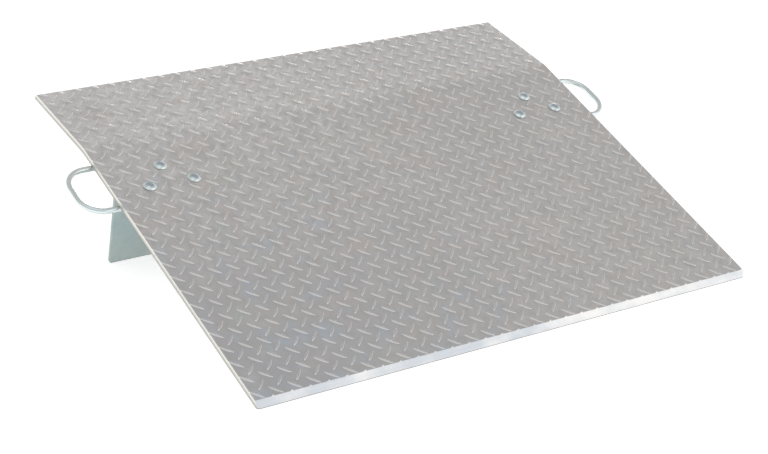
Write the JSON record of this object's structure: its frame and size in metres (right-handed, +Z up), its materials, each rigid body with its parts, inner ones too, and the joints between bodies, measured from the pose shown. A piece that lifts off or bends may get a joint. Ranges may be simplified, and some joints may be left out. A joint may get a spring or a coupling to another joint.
{
  "type": "dock plate",
  "caption": "Aluminium tread-plate dock plate with a shallow bend, bevelled front edge, bolted steel legs and rod hand loops.",
  "frame": {"origin": "middle of the base, on the level surface that the front edge and both leg tips stand on", "axes": "+X across the width, +Y from the bevelled front edge towards the rear flap, +Z up"},
  "size_m": [1.027, 0.7358, 0.1958],
  "materials": {
    "deck_aluminium": "rolled mill finish with raised tread lugs, dull, lightly mottled",
    "plated_steel": "bright zinc plate, faintly green-blue, satin",
    "bolt_steel": "bright zinc plate, polished heads",
    "weld_metal": "rippled weld metal under zinc plate"
  },
  "bodies": {
    "root": {"deck_plate": "deck_aluminium", "left_flange_plate": "plated_steel", "left_leg": "plated_steel", "left_hand_loop": "plated_steel", "left_leg_front_weld": "weld_metal", "left_leg_rear_weld": "weld_metal", "left_loop_front_weld": "weld_metal", "left_loop_rear_weld": "weld_metal", "left_rear_bolt": "bolt_steel", "left_rear_washer": "bolt_steel", "left_rear_nut": "bolt_steel", "left_front_outer_bolt": "bolt_steel", "left_front_outer_washer": "bolt_steel", "left_front_outer_nut": "bolt_steel", "left_front_inner_bolt": "bolt_steel", "left_front_inner_washer": "bolt_steel", "left_front_inner_nut": "bolt_steel", "right_flange_plate": "plated_steel", "right_leg": "plated_steel", "right_hand_loop": "plated_steel", "right_leg_front_weld": "weld_metal", "right_leg_rear_weld": "weld_metal", "right_loop_front_weld": "weld_metal", "right_loop_rear_weld": "weld_metal", "right_rear_bolt": "bolt_steel", "right_rear_washer": "bolt_steel", "right_rear_nut": "bolt_steel", "right_front_outer_bolt": "bolt_steel", "right_front_outer_washer": "bolt_steel", "right_front_outer_nut": "bolt_steel", "right_front_inner_bolt": "bolt_steel", "right_front_inner_washer": "bolt_steel", "right_front_inner_nut": "bolt_steel"}
  },
  "joints": []
}
